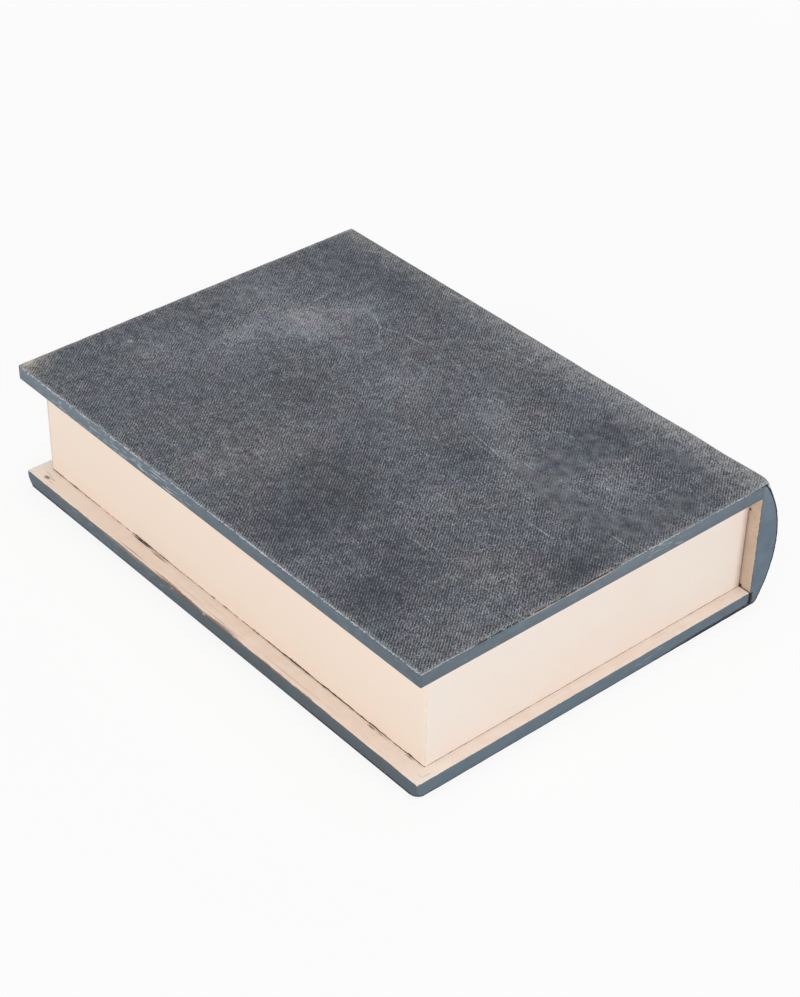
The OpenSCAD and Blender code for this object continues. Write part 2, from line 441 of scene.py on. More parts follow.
# %% Marks on the rim
def rim_marks(add, at, paint):
    """Knocks, old glue at the card's foot, and the worn border of the fore edge."""
    on_top = add("MapRange", at.over_base, 1, 0.5)
    # the noise that breaks up the outlines moves them by half a millimetre, and so the middles move too
    shaken = add("VectorMath ADD", at.place, at.wander)
    for middle_x, middle_y, half_x, half_y, mark, strength in KNOCKS:
        soft = soft_spot(add, shaken, (middle_x + 0.5, middle_y + 0.5, 0), (half_x, half_y, 1000))
        paint = add("Mix RGBA", where(add, (soft, 0, 0.6, 0, strength), on_top), paint, mark)
    beyond = add("Math SUBTRACT", add("Math ABSOLUTE", at.x), wrap_high.x / MM)
    off_foot = add("Math MAXIMUM", beyond, add("Math SUBTRACT", wrap_low.y / MM, at.y))
    squeezed = add("MapRange", add("TexNoise", at.place, 0.22, 4, 0.7), 0.45, 0.68, -0.05, 0.4)
    squeezed = add("Math ADD", squeezed, add("MapRange", at.x, 30, 42, -0.1, 0.12))
    squeezed = where(add, squeezed, (beyond, -1, -0.2, 1, 0.3))
    glued = where(add, (add("Math SUBTRACT", off_foot, squeezed), 0.08, -0.08, 0, 0.92), (at.z, 30, 20))
    paint = add("Mix RGBA", glued, paint, "#5A4434")
    worn = add("TexNoise", add("Mapping POINT", at.place, Scale=(0.07, 0.9, 1)), 1, 4, 0.7)
    # streaks lie close to the border, on the middle of the fore edge
    for limit in ((at.past, 0.9, 0.1, -0.3, 0.1), (at.past, -0.4, -0.1, -0.3, 0),
                  (away(add, at.x, -5), 135, 45, -0.1, 0.03), (at.from_fore, 3, 2, -0.3, 0)):
        worn = add("Math ADD", worn, add("MapRange", *limit))
    worn = where(add, (worn, 0.47, 0.56, 0, 0.85), (at.over_base, 0.75, 0.35))
    return add("Mix RGBA", worn, paint, "#8A705A")


# %% [markdown]
# Last come the dirty joins and painted shade. The open seam at the foot of the spine is painted black on
# both faces, as its painted shade. On the spine the two paints meet in a broken line, its inner face is
# flecked, and dark spots of painted shade lie at the small voids where the card, the spine and the boards
# come together. On the boards the foot of the right end is painted black near the spine, and under the cloth
# of the lid a line of bare wood shows tan. Each is drawn by how far a point is from the join, made ragged by
# the noises that the paint already has.

# %% Dirty joins and painted shade
PAINTED_BLACK = "#15161A"


def painted_seam_shade(add, at, paint):
    """Painted shade: black on both faces along the open seam."""
    from_seam = add("Math ADD", away(add, at.y, SEAM / MM + 0.35), 1.5)
    for pattern in (at.ragged, at.wander):
        from_seam = add("Math MULTIPLY_ADD", pattern, -2.4, from_seam)
    return add("Mix RGBA", where(add, (from_seam, 0.62, 0.5), (at.z, 7.9, 7.6)), paint, PAINTED_BLACK)


def spine_dirt_and_shade(add, at, paint):
    """The broken line and flecks of the spine's inner face, and painted shade at its small voids."""
    flecks = add("TexNoise", at.place, 1.1, 2)
    dirt_and_shade = where(add, (add("Math ABSOLUTE", at.past), 0.35, 0.1), (flecks, 0.48, 0.6, 0, 0.8))
    dirt_and_shade = add("Math MAXIMUM", dirt_and_shade, add("MapRange", flecks, 0.66, 0.72, 0, 0.5))
    # painted shade: dark spots at the low and high ends of the gap between the card and the spine
    for height, radius in ((8.6, 1.2), (54.6, 0.9)):
        void = (wrap_high.x / MM + 0.5, inner_y / MM, height)
        off = add("VectorMath DISTANCE", at.place, void).node.outputs["Value"]
        dirt_and_shade = add("Math MAXIMUM", dirt_and_shade, add("MapRange", off, radius, radius * 0.5))
    dirt_and_shade = where(add, dirt_and_shade, (at.y, inner_y / MM + 0.4, inner_y / MM + 0.2))
    return add("Mix RGBA", dirt_and_shade, paint, "#4A3A2E")


def right_end_black_and_tan(add, at, clouds, paint):
    """The black foot of the right end near the spine, and the tan line under the lid's cloth."""
    # the foot of the right end is painted black near the spine, made ragged by the paint's noises
    black_foot = add("Math MULTIPLY_ADD", at.ragged, -2, add("Math MULTIPLY_ADD", at.wander, -1.6, at.z))
    black_foot = where(add, (black_foot, 0.25, -0.05, 0, 0.95), (at.y, 44, 62), (at.x, 151.6, 152.2))
    paint = add("Mix RGBA", black_foot, paint, PAINTED_BLACK)
    tan = where(add, (away(add, at.y, -26), 34, 22), (clouds, 0.38, 0.48, 0.35, 1), (at.z, 71, 71.3, 0, 0.9),
                (at.x, 151.8, 152.2))
    return add("Mix RGBA", tan, paint, "#B7A48E")


def painted_wood(name, board, border, waver, blues, creams):
    """Blue-grey paint up to a wavering border, cream paint beyond it, and their wear."""
    made, add = new_material(name)
    at = paint_places(add, board, border, waver)
    blue, strokes = blue_paint(add, at, board, blues)
    cream, lines, clouds = cream_paint(add, at, board, creams)
    paint = add("Mix RGBA", at.cream_side, blue, cream)
    if board:
        paint = rim_marks(add, at, paint)
    paint = painted_seam_shade(add, at, paint)
    paint = right_end_black_and_tan(add, at, clouds, paint) if board else spine_dirt_and_shade(add, at, paint)
    height = add("Math ADD", strokes, add("Math ADD", lines, at.wander))
    surface(add, paint, 0.62, height, 0.25, 0.12 * MM)
    return made


paint_on_boards = painted_wood("brushed_paint_on_boards", board=True, border=0.35, waver=0.25,
                               blues=("#4F5C67", "#63727D"), creams=("#F4E0D0", "#FCF0E6"))
paint_on_spine = painted_wood("brushed_paint_on_spine", board=False, border=0.5, waver=0.55,
                              blues=("#4E5F6D", "#637785"), creams=("#CBB49F", "#E0C9B4"))
print("made", paint_on_boards.name, "and", paint_on_spine.name)

# %% [markdown]
# ## The two cover boards
#
# Each cover is a planed board with hand-sanded corners. A cube is scaled to the board's box and its two
# fore-edge corners are bevelled. The real bottom board is sharp at its upper face and well rounded at its
# foot, which one bevel can't do, so the bevelled points are drawn back towards the corner by an amount that
# changes with height. A last small bevel eases the long edges, as sandpaper does.

# %% Boards
SAME_PLACE = 1e-7     # two points that are nearer than this, in metres, lie in one place


def board(name, low, high, radius_top, radius_foot, eased, node, body):
    """A board with two rounded fore corners whose radius changes with height."""
    mesh = block(low, high)
    widest = max(radius_top, radius_foot)
    upright = [edge for edge in mesh.edges if all(vert.co.y < 0 for vert in edge.verts)
               and edge.verts[0].co.x * edge.verts[1].co.x > 0]
    round_edges(mesh, upright, widest, 9)
    for level in (0.1, 0.2, 0.32, 0.5, 0.75):
        height = low.z + (high.z - low.z) * level
        bmesh.ops.bisect_plane(mesh, geom=mesh.verts[:] + mesh.edges[:] + mesh.faces[:],
                               plane_co=(0, 0, height), plane_no=(0, 0, 1))
    for vert in mesh.verts:
        share = min(max((vert.co.z - low.z) / (high.z - low.z), 0.0), 1.0)
        radius = radius_top + (radius_foot - radius_top) * (1 - share) ** 3
        corner = Vector((math.copysign(high.x, vert.co.x), low.y, vert.co.z))
        reach = corner - vert.co
        if abs(reach.x) <= widest + 10 * SAME_PLACE and reach.y >= -widest - 10 * SAME_PLACE:
            vert.co = corner - reach * radius / widest
    rims = [edge for edge in mesh.edges if abs(edge.verts[0].co.z - edge.verts[1].co.z) < SAME_PLACE
            and min(abs(edge.verts[0].co.z - low.z), abs(edge.verts[0].co.z - high.z)) < SAME_PLACE
            and not all(abs(vert.co.y - high.y) < SAME_PLACE for vert in edge.verts)]
    round_edges(mesh, rims, eased, 3)
    made = make_piece(mesh, name, [paint_on_boards], body)
    keep_flats(made)
    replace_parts(made, node)


low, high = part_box("bottom_board")
board("painted_bottom_board", low, high, radius_top=0.8 * MM, radius_foot=4.6 * MM, eased=0.3 * MM,
      node="bottom_board", body="base")
low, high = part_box("top_board")
high.y += 0.09 * MM     # the paint has closed the seam between the lid and the spine
board("painted_lid_board", low, high, radius_top=0.35 * MM, radius_foot=0.7 * MM, eased=0.25 * MM,
      node="top_board", body="lid")

# %% [markdown]
# ## The line that the cover cloth follows
#
# One cloth goes over the lid, folds down over the spine, round its back, and folds again to run back
# underneath. So that its threads stay evenly spaced, everything about it is written on the flat cloth: x
# along the box, and the run, which is how far a thread has gone from the fore edge. A run below the first
# fold is simply y on the lid. The folds are small arcs that touch the flat and the spine's circle.

# %% The cloth's line
LID_Z = pivots["lid_hinge"].z
FOOT_Z = pivots["spine_hinge"].z


def cloth_line(top_fold, foot_fold):
    """Its bent stretches, as (first run, last run, centre y, centre z, radius, first angle)."""
    top_z = LID_Z - top_fold
    top_y = ARC_Y + math.sqrt((ARC_R - top_fold) ** 2 - (top_z - ARC_Z) ** 2)
    foot_z = FOOT_Z + foot_fold
    foot_y = ARC_Y + math.sqrt((ARC_R - foot_fold) ** 2 - (foot_z - ARC_Z) ** 2)
    leaves_top = math.atan2(top_z - ARC_Z, top_y - ARC_Y)
    meets_foot = math.atan2(foot_z - ARC_Z, foot_y - ARC_Y)
    stretches = []
    run = top_y
    for centre_y, centre_z, radius, first, last in (
        (top_y, top_z, top_fold, math.pi / 2, leaves_top),
        (ARC_Y, ARC_Z, ARC_R, leaves_top, meets_foot),
        (foot_y, foot_z, foot_fold, meets_foot, -math.pi / 2),
    ):
        stretches.append((run, run + radius * (first - last), centre_y, centre_z, radius, first))
        run += radius * (first - last)
    return stretches


CLOTH_LINE = cloth_line(2.0 * MM, 2.0 * MM)
RUN_FOLD = CLOTH_LINE[0][0]
RUN_SPINE = CLOTH_LINE[1][0]
RUN_FOOT = CLOTH_LINE[2][0]
RUN_UNDER = CLOTH_LINE[2][1]
RUN_END = RUN_UNDER + CLOTH_LINE[2][2] - FORE


def cover_point(run, lift=0.0, line=CLOTH_LINE):
    """(y, z) on a line after that run, lifted outwards by lift."""
    if run <= line[0][0]:
        return run, LID_Z + lift
    for first_run, last_run, centre_y, centre_z, radius, first in line:
        if run <= last_run:
            angle = first - (run - first_run) / radius
            return centre_y + (radius + lift) * math.cos(angle), centre_z + (radius + lift) * math.sin(angle)
    return line[2][2] - (run - line[2][1]), FOOT_Z - lift


def spread(first, last, pieces):
    """Evenly spaced runs from first up to, but not including, last."""
    return [first + (last - first) * i / pieces for i in range(pieces)]


print("the cloth is", round((RUN_END - FORE) / MM, 1), "mm from edge to edge along its run")

# %% [markdown]
# ## The spine block
#
# The spine is one solid length of wood, flat towards the pages and round at the back. Its outline is a few
# points along the cloth's line, half a thickness inside it, joined to the flat inner face. Its two back
# corners are sanded rounder than the cloth's folds, which leaves the small dark hollow that shows at the end
# of the real spine. The outline is filled and extruded along the box, as a moulding plane would have run.

# %% Spine block
low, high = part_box("spine_block")
wood_line = cloth_line(3.3 * MM, 3.4 * MM)
inside = -CLOTH / 2 - HAIR
mesh = bmesh.new()
runs = spread(wood_line[0][0], wood_line[0][1], 10) + spread(wood_line[1][0], wood_line[1][1], 30)
runs += spread(wood_line[2][0], wood_line[2][1], 8) + [wood_line[2][1]]
outline = [mesh.verts.new((-HALF, *cover_point(run, inside, wood_line))) for run in runs]
outline = [vert for vert in outline if vert.co.y > inner_y]
outline.append(mesh.verts.new((-HALF, inner_y, outline[-1].co.z)))
outline.append(mesh.verts.new((-HALF, inner_y, outline[0].co.z + 0.05 * MM)))
end_face = mesh.faces.new(outline)
drawn = bmesh.ops.extrude_face_region(mesh, geom=[end_face])["geom"]
far_end = [part for part in drawn if isinstance(part, bmesh.types.BMVert)]
bmesh.ops.translate(mesh, vec=(2 * HALF, 0, 0), verts=far_end)
bmesh.ops.delete(mesh, geom=[v for v in mesh.verts if not v.link_faces], context="VERTS")
rims = [edge for edge in mesh.edges if abs(edge.verts[0].co.x - edge.verts[1].co.x) < SAME_PLACE
        and max(vert.co.z for vert in edge.verts) < LID_Z - 4 * MM]
round_edges(mesh, rims, 0.25 * MM, 2)
spine_block = make_piece(mesh, "painted_spine_block", [paint_on_spine], "spine")
keep_flats(spine_block)
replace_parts(spine_block, "spine_block")

# %% [markdown]
# ## Smooth cream card round the pages
#
# The page block is a sheet of smooth painted card bent round the fore edge and the two ends of the tray. Its
# surface is nearly even and has hardly any grain: painted warm light makes it a little warmer towards the
# foot and on the long face, there is a faint grey line where each corner has been rubbed, and painted shade
# darkens it beside the spine.

# %% Card material
cream_card, add = new_material("smooth_painted_card")
place = in_millimetres(add)
x, y, z = add("SeparateXYZ", place).node.outputs
clouds = add("TexNoise", place, 0.022, 3, 0.55)
# the clouds are the card's own tone; the warmer shift towards the foot is painted warm light bounced off the
# cream rim
tone = add("Math ADD", clouds, add("MapRange", z, 45, 8, -0.06, 0.1))
colour = add("Mix RGBA", add("MapRange", tone, 0.3, 0.75), "#F0E6DD", "#F2E2D6")
# painted warm light: the long face is tinted warmer than the two ends, as the warm light from the left makes
# it
long_face = add("MapRange", y, wrap_low.y / MM + 1.5, wrap_low.y / MM + 0.5, 0, 0.7)
colour = add("Mix RGBA", long_face, colour, "#F7E3D0")
grain = add("TexNoise", place, 1.3, 4, 0.6)
colour = add("Mix RGBA", add("MapRange", grain, 0.35, 0.65, 0, 0.1), colour, "#DCC9B8")
# the rubbed corner lies where the distances from the end and from the fore edge are both small
from_end = add("Math SUBTRACT", wrap_high.x / MM, add("Math ABSOLUTE", x))
off_corner = add("Math ADD", from_end, add("Math SUBTRACT", y, wrap_low.y / MM))
rubbed = where(add, (off_corner, 0.78, 0.6), (add("TexNoise", place, 0.5, 2), 0.35, 0.65, 0.2, 0.45))
colour = add("Mix RGBA", rubbed, colour, "#B7B3AC")
# painted shade: the card darkens within a few millimetres of the spine, whose inner face overhangs it
to_spine = add("Math SUBTRACT", wrap_high.y / MM, y)
painted_shade_by_spine = add("MapRange", add("Math MULTIPLY_ADD", grain, 1.2, to_spine), 5.2, 0.4)
painted_shade_by_spine = add("Math MULTIPLY", add("Math POWER", painted_shade_by_spine, 1.5), 0.72)
colour = add("Mix RGBA", painted_shade_by_spine, colour, "#957A68")
surface(add, colour, 0.7, grain, 0.12, 0.1 * MM)
print("made", cream_card.name)

# %% [markdown]
# The card was glued on by hand, and its lower edge doesn't quite meet the board. A cube is scaled to the
# card's box, and its top, bottom and spine sides are taken away, which leaves the bent card. The two upright
# corners are bevelled, the long faces are cut into narrow strips, and then the points of the lower edge are
# raised by a small uneven gap. The gap shows the dark old glue behind it. At the far corner the card has
# sprung a little off the wall, most at its top edge.

# %% Page wrap
GAPS = (
    # middle, half length and height in mm of the places where the fore edge's gap opens, along x
    (-67, 9, 1.0), (-52, 9, 0.4), (-9, 2.0, 0.6), (0, 3, 0.3), (23, 1.6, 0.7), (34, 10, 0.4),
    (56, 16, 0.75), (84, 14, 0.7), (100, 10, 0.5), (110.5, 3.6, 1.0), (118, 2.2, 0.5), (136, 4, 0.6),
    (142, 3, 0.3), (-141, 10, 0.45), (-122, 14, 0.3),
)
CARD_THICKNESS = 0.48 * MM
SPRINGS_FROM = 60 * MM
SPRINGS_OVER = 22 * MM


def foot_gap(x, y):
    """How far the card's lower edge stands off the board."""
    wave = noise.noise(Vector((x * 900, y * 900, 3))) + noise.noise(Vector((x * 190, y * 190, 8)))
    gap = 0.20 + 0.14 * wave
    if y < wrap_low.y + 2 * MM:
        gap += 0.10 + 0.10 * wave
        for middle, half, height in GAPS:
            share = abs(x / MM - middle) / half
            if share < 1:
                gap += height * (1 - share ** 2) * (0.75 + 0.5 * noise.noise(Vector((x * 1300, 0, 5))))
    return max(gap, 0.04) * MM


mesh = block(wrap_low, wrap_high)
open_sides = [face for face in mesh.faces if abs(face.normal.z) > 0.5 or face.normal.y > 0.5]
bmesh.ops.delete(mesh, geom=open_sides, context="FACES")
upright = [edge for edge in mesh.edges if all(vert.co.y < 0 for vert in edge.verts)
           and abs(edge.verts[0].co.z - edge.verts[1].co.z) > 1 * MM]
round_edges(mesh, upright, 1.0 * MM, 4)
long_edges = [edge for edge in mesh.edges if edge.calc_length() > 100 * MM]
bmesh.ops.subdivide_edges(mesh, edges=long_edges, cuts=300, use_grid_fill=True)
for vert in mesh.verts:
    if vert.co.z < wrap_low.z + 1 * MM:
        vert.co.z += foot_gap(vert.co.x, vert.co.y)
    sprung = math.exp(-((vert.co.y - wrap_low.y) / SPRINGS_OVER) ** 2)
    reach = min(max((-vert.co.x - SPRINGS_FROM) / (wrap_high.x - SPRINGS_FROM), 0), 1)
    height = (vert.co.z - wrap_low.z) / (wrap_high.z - wrap_low.z)
    vert.co.x -= (0.8 + 1.2 * height) * MM * reach * sprung
page_wrap = make_piece(mesh, "card_page_wrap", [cream_card], "base")
crisp_cuts(page_wrap)
outward = page_wrap.data.polygons[0].normal.dot(page_wrap.data.polygons[0].center) > 0
card = page_wrap.modifiers.new("card", "SOLIDIFY")
card.thickness = CARD_THICKNESS
card.offset = -1.0 if outward else 1.0
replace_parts(page_wrap, "page_wrap")

# %% [markdown]
# ## The tray inside
#
# The four walls are planed softwood. Their CAD solids have the right shape, so they only get a material:
# growth rings drawn as stretched noise, and old brown glue at the foot, which is what shows through the gap
# under the card. The top edges were brushed with cream paint when the box was finished.

# %% Bare wood and old glue
def planed_wood(name, squeeze):
    """Planed softwood whose grain is squeezed by those factors, with glue at its foot and paint on top."""
    made, add = new_material(name)
    place = in_millimetres(add)
    z = add("SeparateXYZ", place).node.outputs["Z"]
    grain_place = add("Mapping POINT", place, Scale=squeeze)
    rings = add("TexNoise", grain_place, 1, 3, Distortion=0.6)
    pores = add("TexNoise", grain_place, 6, 3, 0.7)
    colour = two_tones(add, rings, 0.7, pores, 0.15, "#B8946A", "#D9BC94")
    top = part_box("fore_edge_wall")[1].z / MM
    painted = add("MapRange", add("Math ADD", z, pores), top - 0.2, top)
    colour = add("Mix RGBA", painted, colour, "#EFDDCB")
    glue = add("MapRange", z, BOARD_TOP / MM + 2.2, BOARD_TOP / MM + 1.4)
    surface(add, add("Mix RGBA", glue, colour, "#452C1B"), 0.6, pores, 0.3, 0.1 * MM)
    return made


def dress(material, *nodes):
    """Gives CAD nodes their finished material."""
    for node in nodes:
        shown = frame["nodes"][node].data.materials
        shown.clear()
        shown.append(material)
    print("dressed", *nodes)


dress(planed_wood("planed_softwood_long_walls", (0.012, 0.45, 0.45)), "fore_edge_wall", "spine_side_wall")
dress(planed_wood("planed_softwood_end_walls", (0.45, 0.012, 0.45)), "left_end_wall", "right_end_wall")

# %% [markdown]
# The linings are uncoated paper: matt and warm white, with a few brownish flecks. Its fibres are too fine
# to show, so they are drawn as a soft pattern a third of a millimetre across. The brads are plain drawn
# steel, a little dull.

# %% Lining paper and brads
lining_paper, add = new_material("uncoated_lining_paper")
place = in_millimetres(add)
fibres = add("TexNoise", place, 3, 4, 0.7)
clouds = add("TexNoise", place, 0.02, 3, 0.55)
colour = two_tones(add, fibres, 0.7, clouds, 0.15, "#E4D8C9", "#F1E8DC")
flecks = add("TexNoise", place, 1.4, 2, Distortion=2)
colour = add("Mix RGBA", add("MapRange", flecks, 0.66, 0.76, 0, 0.35), colour, "#B9A48B")
surface(add, colour, 0.9, fibres, 0.3, 0.08 * MM)
dress(lining_paper, "fore_edge_lining", "spine_side_lining", "left_end_lining", "right_end_lining",
      "lid_lining")

steel, add = new_material("drawn_steel_brads")
drawn_marks = add("TexNoise", in_millimetres(add), 3, 2)
colour = add("Mix RGBA", drawn_marks, "#9C9FA3", "#B9BCBF")
rough = add("MapRange", drawn_marks, 0.3, 0.7, 0.3, 0.5)
add("OutputMaterial", add("BsdfPrincipled", Base_Color=colour, Metallic=1, Roughness=rough))
dress(steel, "corner_pins", "board_pins")

# %% [markdown]
# ## The felt pad on the tray's floor
#
# Pressed wool felt, cut a little smaller than the floor. It is a thick sheet with soft edges: a cube scaled
# to the pad, its face cut into a grid, its rims rounded and each point moved by a small noise, because felt
# is never quite level. Its fibres lie in all directions, which a fine distorted noise gives, and a few paler
# hairs lie among them.

# %% Felt pad
felt, add = new_material("pressed_wool_felt")
place = in_millimetres(add)
fibres = add("TexNoise", place, 1.6, 5, 0.75, Distortion=1.5)
colour = two_tones(add, fibres, 0.7, add("TexNoise", place, 0.08, 2), 0.15, "#313A45", "#4E5A68")
hairs = add("TexNoise", place, 0.9, 3, 0.6, Distortion=4)
colour = add("Mix RGBA", add("MapRange", hairs, 0.6, 0.7, 0, 0.3), colour, "#7D8997")
surface(add, colour, 0.95, fibres, 0.6, 0.3 * MM, Sheen_Weight=0.25, Sheen_Roughness=0.5)

low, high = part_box("floor_lining")
mesh = block(low, high)
long_edges = [edge for edge in mesh.edges if edge.calc_length() > 100 * MM]
bmesh.ops.subdivide_edges(mesh, edges=long_edges, cuts=60, use_grid_fill=True)
rims = [edge for edge in mesh.edges if len(edge.link_faces) == 2 and edge.calc_face_angle() > 1.0]
round_edges(mesh, rims, 0.6 * MM, 3)
for vert in mesh.verts:
    if vert.co.z > low.z + 0.5 * MM:
        vert.co.z += 0.12 * MM * (noise.noise(vert.co * 60) - 0.5)
felt_pad = make_piece(mesh, "felt_pad", [felt], "base")
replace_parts(felt_pad, "floor_lining")

# %% [markdown]
# ## Denim
#
# Denim is a twill of dark warp threads, here along the run, over pale weft threads along the box. Each warp
# thread goes over three wefts and under one, a step aside at each row, so the pale weft shows as slanting
# lines of dots. The counts were read off the real cloth: a warp every 0.403 mm and a weft every 0.51 mm. The
# pattern is drawn on the flat cloth's own map, in millimetres, so it bends with the cloth.

# %% The twill
WARP = 0.403
WEFT = 0.51
denim_face, add = new_material("washed_twill_denim")
flat = add("VectorMath MULTIPLY", add("UVMap", uv_map="flat_cloth"), (1000, 1000, 0))
# the threads wander by a few tenths of a millimetre
drift = shift_by(add, add("TexNoise", flat, 0.07, 2), (1.6, 1.6, 0))
shake = shift_by(add, add("TexNoise", flat, 0.7, 2), (0.6, 0.6, 0))
place = add("VectorMath ADD", flat, add("VectorMath ADD", drift, shake))
x, y, _ = add("SeparateXYZ", place).node.outputs
warp = add("Math DIVIDE", x, WARP)
weft = add("Math DIVIDE", y, WEFT)
warp_number = add("Math FLOOR", warp)
# 0 to 1 where the weft is on top, and 1 to 4 along the warp's float over three wefts
phase = add("Math FLOORED_MODULO", add("Math ADD", weft, warp_number), 4)
weft_up = add("Math LESS_THAN", phase, 1)
weft_bulge = add("Math SINE", add("Math MULTIPLY", phase, math.pi))
warp_bulge = add("Math SINE", add("Math MULTIPLY", add("Math SUBTRACT", phase, 1), math.pi / 3))
warp_round = add("Math SINE", add("Math MULTIPLY", add("Math FRACT", warp), math.pi))
height = add("Mix FLOAT", weft_up, add("Math MULTIPLY", warp_bulge, warp_round),
             add("Math MULTIPLY", weft_bulge, 0.55))
print("threads to the inch:", round(25.4 / WARP), "by", round(25.4 / WEFT))

# %% [markdown]
# Every thread and every crossing has taken the dye a little differently, and some wefts are thicker than
# others. White fluff clings along the ribs, so most of it is drawn out in their direction. Here and there it
# has gone to bare cotton or to a dark pit, and specks of lint lie on top. All parts are weighed and added up
# to how pale the weave is, on both sides of nought.

# %% How pale each thread is
warp_streak = add("TexNoise", add("Mapping POINT", place, Scale=(1.4, 0.16, 1)), 1, 3)
weft_streak = add("TexNoise", add("Mapping POINT", place, Scale=(0.13, 1.5, 1)), 1, 3)
crossing = add("TexWhiteNoise 2D", add("CombineXYZ", warp_number, add("Math FLOOR", weft), 0))
along_ribs = add("Mapping TEXTURE", flat, Rotation=(0, 0, math.atan2(-WEFT, WARP)), Scale=(2.4, 0.62, 1))
fluff = add("Mix FLOAT", 0.62, add("TexNoise", flat, 1, 3, 0.7), add("TexNoise", along_ribs, 1, 2, 0.6))
slub = add("MapRange", weft_streak, 0.62, 0.74, 0, 0.4)
bare = add("MapRange", fluff, 0.58, 0.72, 0, 0.5)
pits = add("MapRange", fluff, 0.42, 0.28, 0, -0.35)
lint = add("MapRange", add("TexNoise", flat, 1.1, 1), 0.7, 0.8, 0, 0.55)
weighed = ((weft_up, 0.44), (height, 0.2), (crossing, 0.45), (warp_streak, 0.4), (weft_streak, 0.34),
           (fluff, 1.6), (slub, 1), (lint, 1), (bare, 1), (pits, 1))
weave = -1.615     # takes off what the parts come to on average
for part, weight in weighed:
    weave = add("Math MULTIPLY_ADD", part, weight, weave)
print(len(weighed), "parts of the weave")

# %% [markdown]
# Washing and handling have worn the cloth pale in patches, and elsewhere it has kept its dark dye. No noise
# would put them where the real ones are, so they are listed one by one, one soft spot each, and a coarse
# noise breaks up their outlines.

# %% Where the denim is worn and where it stayed dark
PATCHES = (
    # x and run of the middle, half width and half height, turn in degrees, and how much paler (or darker)
    (-93, 24, 24, 26, 0, 0.62), (-84, 54, 22, 22, 0, 0.42), (-104, -10, 20, 36, 12, 0.42),
    (-118, -50, 24, 24, 10, 0.26), (-128, 22, 34, 30, 0, 0.22), (-95, 82, 70, 20, 0, -0.16),
    (-48, -20, 24, 26, 0, -0.20), (-8, 84, 34, 20, 0, 0.08), (28, 40, 30, 16, -24, 0.32),
    (60, 22, 30, 14, -26, 0.26), (96, 24, 40, 22, -10, 0.08), (108, 44, 26, 18, 0, 0.28),
    (33, 70, 22, 14, 0, -0.15), (76, 68, 26, 14, 0, -0.20), (112, 72, 24, 14, 0, -0.12),
    (45, 6, 26, 15, -10, -0.28), (140, -14, 18, 24, 0, -0.44), (66, -32, 18, 14, -50, 0.24),
    (8, -46, 22, 34, 0, -0.18), (34, -66, 34, 44, 0, -0.33), (38, -96, 34, 24, 0, -0.22),
    (88, -70, 26, 40, 12, -0.26), (102, -96, 24, 24, 0, -0.40), (114, -50, 26, 16, -30, 0.08),
    (-20, 24, 26, 26, 0, 0.26), (-18, -60, 16, 60, -4, 0.14), (-28, -96, 20, 22, 0, 0.11),
    (138, -72, 18, 36, 20, 0.15), (-60, 26, 20, 20, 0, 0.20), (-149, -106, 9, 9, 0, 1.1),
)
broken = add("TexNoise", flat, 0.035, 4)
patchy = add("VectorMath ADD", flat, shift_by(add, broken, (26, 26, 0)))
wear = 0
for middle_x, run, half_x, half_y, turn, strength in PATCHES:
    soft = soft_spot(add, patchy, (middle_x, run, 0), (half_x * 1.35, half_y * 1.35, 1), turn,
                     "QUADRATIC_SPHERE")
    wear = add("Math MULTIPLY_ADD", soft, strength, wear)
print(len(PATCHES), "patches")

# %% [markdown]
# The weave doesn't show equally everywhere. Where fluff has matted the cloth the ribs are calm, and where it
# has been rubbed clean they stand out crisply. This share scales the weave's tone and its relief.

# %% Where the weave shows more or less
CRISP = (
    # x and run of the middle, half width and half height, and how much more (or less) the weave shows there
    (-150, -5, 34, 130, -0.28), (-118, 90, 50, 32, -0.20), (14, -70, 56, 42, -0.14), (77, 57, 20, 44, -0.60),
    (84, 25, 18, 18, -0.34), (110, 17, 27, 12, -0.66), (136, 42, 15, 46, -0.60), (111, 84, 20, 11, -0.56),
    (142, -10, 10, 34, -0.30), (75, 4, 24, 13, 0.40), (108, 4, 20, 8, 0.20), (50, 47, 24, 26, 0.28),
    (70, -38, 32, 16, 0.22), (129, -47, 22, 15, 0.16), (-38, 8, 46, 26, 0.20), (98, -36, 50, 34, 0.10),
    (146, -84, 30, 42, 0.18), (20, -18, 32, 18, 0.12), (110, 52, 14, 20, 0.16),
)
steadier = add("VectorMath ADD", flat, shift_by(add, broken, (9.1, 9.1, 0)))
crisp = add("Math MULTIPLY_ADD", add("TexNoise", flat, 0.09, 3), 1.2, 0.4)
for middle_x, run, half_x, half_y, more in CRISP:
    soft = soft_spot(add, steadier, (middle_x, run, 0), (half_x, half_y, 1))
    crisp = add("Math ADD", crisp, add("MapRange", soft, 0, 0.5, 0, more))
crisp = add("Math MAXIMUM", crisp, 0.2)
print(len(CRISP), "calmer or crisper places")

# %% [markdown]
# Small scratches and nicks are thin soft spots too. The cut edges and the fold over the spine are rubbed
# pale, the fold most towards the right.

